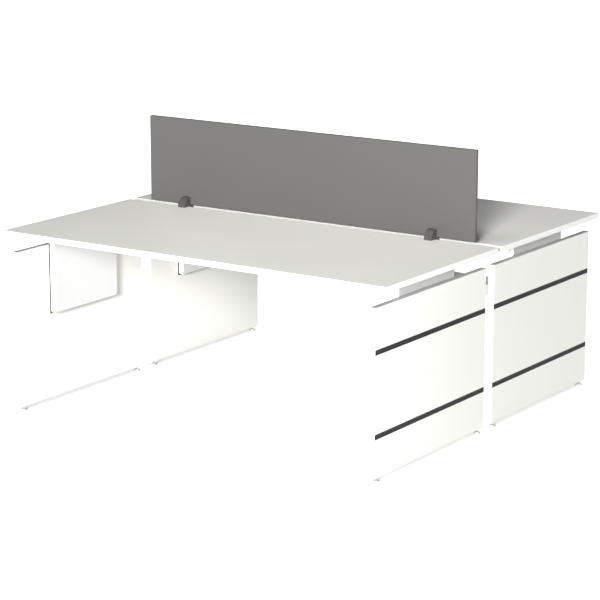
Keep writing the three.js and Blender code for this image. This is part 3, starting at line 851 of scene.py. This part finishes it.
class DESK_OT_risers(bpy.types.Operator):
    """Make the four risers, and screw the steel angles to them and to the worktops"""

    bl_idname = "desk.risers"
    bl_label = "Risers and angles"

    def rebate(self, corner, sizes):
        """A cutter for the rebate round the part of a riser's back that lies on the panel."""
        low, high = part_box(f"riser_{corner}")
        panel_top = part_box(f"end_panel_{corner}")[1].z
        back = high.x if corner.endswith("right") else low.x
        deep, wide = sizes.rebate_depth, sizes.rebate_width
        around = block(
            (back - deep, low.y - wide, low.z - wide), (back + deep, high.y + wide, panel_top))
        seat = block(
            (back - wide, low.y + wide, low.z + wide), (back + wide, high.y - wide, panel_top + wide))
        return cut(around, [seat])

    def execute(self, context):
        sizes = context.scene.desk_sizes
        chance = random.Random(ANGLE_SCREW_SEED)
        corners = (sizes.riser_corner, sizes.panel_corner)
        for corner in CORNERS:
            banded_board(
                f"riser_{corner}", f"riser_{corner}", FACING_X, corners,
                "riser", "riser edging", ("white_board", "edge_band"),
                [self.rebate(corner, sizes)], [self.rebate(corner, sizes)])
            dress(f"angle_{corner}", "painted_steel")
            low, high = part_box(f"angle_{corner}")
            inward = -1 if corner.endswith("right") else 1
            back = high.x if inward < 0 else low.x
            under, inside = high.z - sizes.angle_sheet, back + inward * sizes.angle_sheet
            places = []
            for along in spread(sizes.angle_screws, sizes.angle_pitch):
                y = (low.y + high.y) / 2 + along
                places.append(((back + inward * sizes.angle_hole, y, under), (0, 0, -1)))
                places.append(((inside, y, high.z - sizes.angle_hole), (inward, 0, 0)))
            driven_screws(f"angle_screws_{corner}", places, chance)
        return {"FINISHED"}


class DESK_OT_steelwork(bpy.types.Operator):
    """Paint the stiffening rails and the cable tray, and screw them on"""

    bl_idname = "desk.steelwork"
    bl_label = "Rails and cable tray"

    def execute(self, context):
        sizes = context.scene.desk_sizes
        chance = random.Random(STEEL_SCREW_SEED)
        for row in ROWS:
            node = f"stiffening_rail_{row}"
            dress(node, "painted_steel")
            low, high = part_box(node)
            y = (low.y + high.y) / 2
            places = [((x, y, low.z), (0, 0, -1)) for x in spread(sizes.rail_screws, sizes.rail_pitch)]
            driven_screws(f"rail_screws_{row}", places, chance)
        dress("cable_tray", "painted_steel")
        low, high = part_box("cable_tray")
        levels = (low.z + sizes.tray_screw, low.z + sizes.tray_drop - sizes.tray_screw)
        for side, end, inward in (("left", low.x, 1), ("right", high.x, -1)):
            face = end + inward * sizes.tray_sheet
            places = [((face, y, z), (inward, 0, 0))
                      for y in (-sizes.tray_screw_out, sizes.tray_screw_out) for z in levels]
            driven_screws(f"tray_screws_{side}", places, chance)
        return {"FINISHED"}


class DESK_OT_screen(bpy.types.Operator):
    """Make the privacy screen, faced and edged"""

    bl_idname = "desk.screen"
    bl_label = "Privacy screen"

    def execute(self, context):
        corner = context.scene.desk_sizes.screen_corner
        banded_board(
            "screen", "privacy_screen", FACING_FRONT, (corner, corner),
            "screen", "screen edging", ("screen", "screen"))
        return {"FINISHED"}


class DESK_OT_clamps(bpy.types.Operator):
    """Make the two screen clamps: saddle, bolt, pressure plate and star knob"""

    bl_idname = "desk.clamps"
    bl_label = "Screen clamps"

    def saddle(self, node, sizes):
        """Cheeks each side of the screen on a bridge, with a tongue down in the slot."""
        low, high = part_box(node)
        screen_low, screen_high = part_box("privacy_screen")
        worktop_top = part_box("worktop_front")[1].z
        gap = screen_high.y + sizes.fit
        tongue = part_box("edge_band_rear")[0].y - sizes.fit
        base, bridge = worktop_top + sizes.seat, screen_low.z - sizes.seat
        radius = high.y - gap
        curve = arc((gap, base), radius, 0, math.pi / 2, 3 * sizes.corner_steps)
        cheek = [Vector((tongue, base)), *curve, Vector((gap, bridge))]
        profile = cheek + [Vector((-p.x, p.y)) for p in reversed(cheek)]
        profile += [Vector((-tongue, low.z)), Vector((tongue, low.z))]
        body = slab(profile, high.x - low.x, sizes.saddle_arris, sizes.arris_steps, FACING_X)
        floor = bridge - sizes.head - sizes.seat
        pocket = hexagon_bar(sizes.hexagon + 2 * sizes.fit, floor, bridge + sizes.head, 0)
        drill = bolt_drill(sizes, low.z - sizes.head, bridge)
        return cut(body, [pocket, drill])

    def bolt(self, node, sizes):
        """A hexagon head over a threaded shank."""
        low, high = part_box(node)
        shoulder = high.z - sizes.head
        head = hexagon_bar(sizes.hexagon, shoulder, high.z, sizes.fit)
        shank = threaded_bar(sizes, low.z, shoulder + sizes.head / 2)
        return join(head, [shank])

    def plate(self, node, sizes):
        """A strip with round corners, bored for the bolt."""
        low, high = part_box(node)
        across, deep, thick = high - low
        corner, middle = sizes.plate_corner, (low.z + high.z) / 2
        outline = rounded_rectangle(across, deep, corner, corner, sizes.corner_steps)
        strip = slab(outline, thick, sizes.plate_arris, sizes.arris_steps, centre=(0, 0, middle))
        return cut(strip, [bolt_drill(sizes, middle - thick, middle + thick)])

    def knob(self, node, sizes):
        """A lobed wheel under a hub, bored right through."""
        low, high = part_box(node)
        reach = (high.x - low.x) / 2
        steps = 2 * sizes.round_steps
        rim = []
        for turn in (2 * math.pi * i / steps for i in range(steps)):
            radius = reach - sizes.lobe * (1 - math.cos(sizes.knob_lobes * turn)) / 2
            rim.append(Vector((radius * math.cos(turn), radius * math.sin(turn))))
        wheel_top = high.z - sizes.hub_height
        middle = (0, 0, (low.z + wheel_top) / 2)
        wheel = slab(rim, wheel_top - low.z, sizes.knob_arris, sizes.arris_steps, centre=middle)
        hub = round_bar(sizes.hub, wheel_top - sizes.knob_arris, high.z, sizes.round_steps)
        drill = bolt_drill(sizes, low.z - sizes.head, high.z + sizes.head)
        return cut(join(wheel, [hub]), [drill])

    def execute(self, context):
        make_sets("clamp", SIDES, (
            ("saddle", self.saddle, "clamp", False),
            ("bolt", self.bolt, "zinc_steel", False),
            ("plate", self.plate, "painted_steel", True),
            ("knob", self.knob, "knob", True),
        ))
        return {"FINISHED"}


class DESK_OT_feet(bpy.types.Operator):
    """Make the eight levelling feet: insert, threaded stud and pad"""

    bl_idname = "desk.feet"
    bl_label = "Levelling feet"

    def insert(self, node, sizes):
        """A flanged bush in the underside of a panel."""
        low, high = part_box(node)
        bore = sizes.bolt / 2 + sizes.fit
        flange = (high.x - low.x) / 2
        seat = low.z + sizes.insert_flange - sizes.seat
        profile = [Vector(p) for p in (
            (bore, low.z), (flange, low.z), (flange, seat), (sizes.insert_barrel, seat),
            (sizes.insert_barrel, high.z), (bore, high.z))]
        eased = eased_corners(profile, sizes.moulding / 2, sizes.arris_steps)
        return turned(eased, sizes.round_steps, loop=True)

    def stud(self, node, sizes):
        """A threaded bar with a hexagon collar under the insert."""
        low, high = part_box(node)
        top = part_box(node.replace("stud", "insert"))[0].z - sizes.fit
        bar = threaded_bar(sizes, low.z, high.z)
        return join(bar, [hexagon_bar(sizes.hexagon, top - sizes.collar, top, sizes.fit)])

    def pad(self, node, sizes):
        """A disc with a sloping top and a socket for the stud."""
        low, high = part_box(node)
        radius = (high.x - low.x) / 2
        socket = sizes.bolt / 2 + sizes.fit
        floor = high.z - sizes.pad_socket
        chamfer = sizes.pad_rim / 2
        profile = [Vector(p) for p in (
            (0, low.z), (radius - chamfer, low.z), (radius, low.z + chamfer),
            (radius, low.z + sizes.pad_rim), ((radius + socket) / 2, high.z), (socket, high.z),
            (socket, floor), (0, floor))]
        return turned(eased_corners(profile, sizes.moulding, sizes.arris_steps), sizes.round_steps)

    def execute(self, context):
        make_sets("foot", FEET, (
            ("insert", self.insert, "zinc_steel", False),
            ("stud", self.stud, "zinc_steel", True),
            ("pad", self.pad, "foot_pad", True),
        ))
        return {"FINISHED"}


class DESK_OT_studio(bpy.types.Operator):
    """Lay the floor, light the desk softly and stand the camera where the photograph was taken"""

    bl_idname = "desk.studio"
    bl_label = "Studio"

    def staged(self, name, mesh):
        """A piece of the studio, which lights the desk only in its gloss."""
        made = in_scene(name, mesh)
        made.data.materials.append(finish_of("floor"))
        made.visible_diffuse = False
        return made

    def floor(self, context):
        """A wide floor just under the pads."""
        half = context.scene.desk_studio.floor_size / 2
        mesh = bmesh.new()
        bmesh.ops.create_grid(mesh, x_segments=2, y_segments=2, size=half)
        self.staged("floor", moved(mesh, (0, 0, -FLOOR_CLEARANCE)))

    def backdrop(self, context):
        """A pale wall far off all round, which only the camera sees."""
        look = context.scene.desk_studio
        steps = 2 * context.scene.desk_sizes.round_steps
        wall = round_bar(look.backdrop, -look.backdrop_height / 2, look.backdrop_height, steps)
        made = self.staged("backdrop", wall)
        made.visible_glossy = False
        made.visible_shadow = False

    def lamp(self, context, name, kind, energy):
        """A lamp, still to be aimed."""
        data = bpy.data.lights.new(name, kind)
        data.energy = energy
        data.color = context.scene.desk_colours.light
        made = bpy.data.objects.new(name, data)
        context.scene.collection.objects.link(made)
        return made

    def soft_light(self, context, name, place, target, size, power):
        """A sheet of light that the camera doesn't see."""
        made = self.lamp(context, name, "AREA", power)
        made.data.shape = "RECTANGLE"
        made.data.size, made.data.size_y = size
        made.location = place
        made.rotation_euler = (Vector(target) - Vector(place)).to_track_quat("-Z", "Y").to_euler()
        made.visible_camera = False

    def broad_light(self, context, name, energy, heading, height):
        """Even light from one side, which leaves no glare."""
        made = self.lamp(context, name, "SUN", energy)
        made.data.angle = context.scene.desk_studio.spread
        made.rotation_euler = (math.pi / 2 - height, 0, heading)
        made.visible_glossy = False

    def sky(self, context):
        """Faint even light all round."""
        world = bpy.data.worlds.new("even light")
        world.use_nodes = True
        background = world.node_tree.nodes["Background"]
        background.inputs["Color"].default_value = solid(context.scene.desk_colours.light)
        background.inputs["Strength"].default_value = context.scene.desk_studio.sky
        context.scene.world = world

    def camera(self, context):
        """The camera at the photograph's angle."""
        look = context.scene.desk_studio
        data = bpy.data.cameras.new("camera")
        data.sensor_width = SENSOR
        data.lens = look.lens
        data.clip_end = look.floor_size
        made = bpy.data.objects.new("camera", data)
        made.location = look.camera_place
        made.rotation_euler = (math.pi / 2 - look.camera_pitch, 0, look.camera_yaw)
        context.scene.collection.objects.link(made)
        context.scene.camera = made

    def execute(self, context):
        look = context.scene.desk_studio
        self.floor(context)
        self.backdrop(context)
        self.sky(context)
        self.broad_light(context, "key", look.key, look.key_heading, look.key_height)
        self.broad_light(context, "back", look.back, look.back_heading, look.back_height)
        for name, (*aim, power) in SOFT_LIGHTS.items():
            self.soft_light(context, name, *aim, getattr(look, power))
        self.camera(context)
        context.scene.view_settings.view_transform = "Standard"
        return {"FINISHED"}


class DESK_PT_pieces(bpy.types.Panel):
    """The desk's pieces, in the order they are made"""

    bl_label = "Benching desk"
    bl_idname = "DESK_PT_pieces"
    bl_space_type = "VIEW_3D"
    bl_region_type = "UI"
    bl_category = "Desk"

    def draw(self, context):
        for operator in OPERATORS:
            self.layout.operator(operator.bl_idname)
        for settings in SETTINGS:
            group, section = getattr(context.scene, settings), self.layout.box()
            for name in group.bl_rna.properties.keys():
                if name not in ("rna_type", "name"):
                    section.prop(group, name)


OPERATORS = (
    DESK_OT_worktops,
    DESK_OT_end_panels,
    DESK_OT_risers,
    DESK_OT_steelwork,
    DESK_OT_screen,
    DESK_OT_clamps,
    DESK_OT_feet,
    DESK_OT_studio,
)
SETTINGS = {"desk_sizes": DeskSizes, "desk_colours": DeskColours, "desk_studio": StudioLook}
CLASSES = (*SETTINGS.values(), *OPERATORS, DESK_PT_pieces)


def register():
    for made in CLASSES:
        bpy.utils.register_class(made)
    for name, group in SETTINGS.items():
        setattr(bpy.types.Scene, name, PointerProperty(type=group))


def unregister():
    for name in SETTINGS:
        delattr(bpy.types.Scene, name)
    for made in reversed(CLASSES):
        bpy.utils.unregister_class(made)


def main():
    register()
    bpy.ops.desk.worktops()
    bpy.ops.desk.end_panels()
    bpy.ops.desk.risers()
    bpy.ops.desk.steelwork()
    bpy.ops.desk.screen()
    bpy.ops.desk.clamps()
    bpy.ops.desk.feet()
    bpy.ops.desk.studio()


if __name__ == "__main__":
    main()
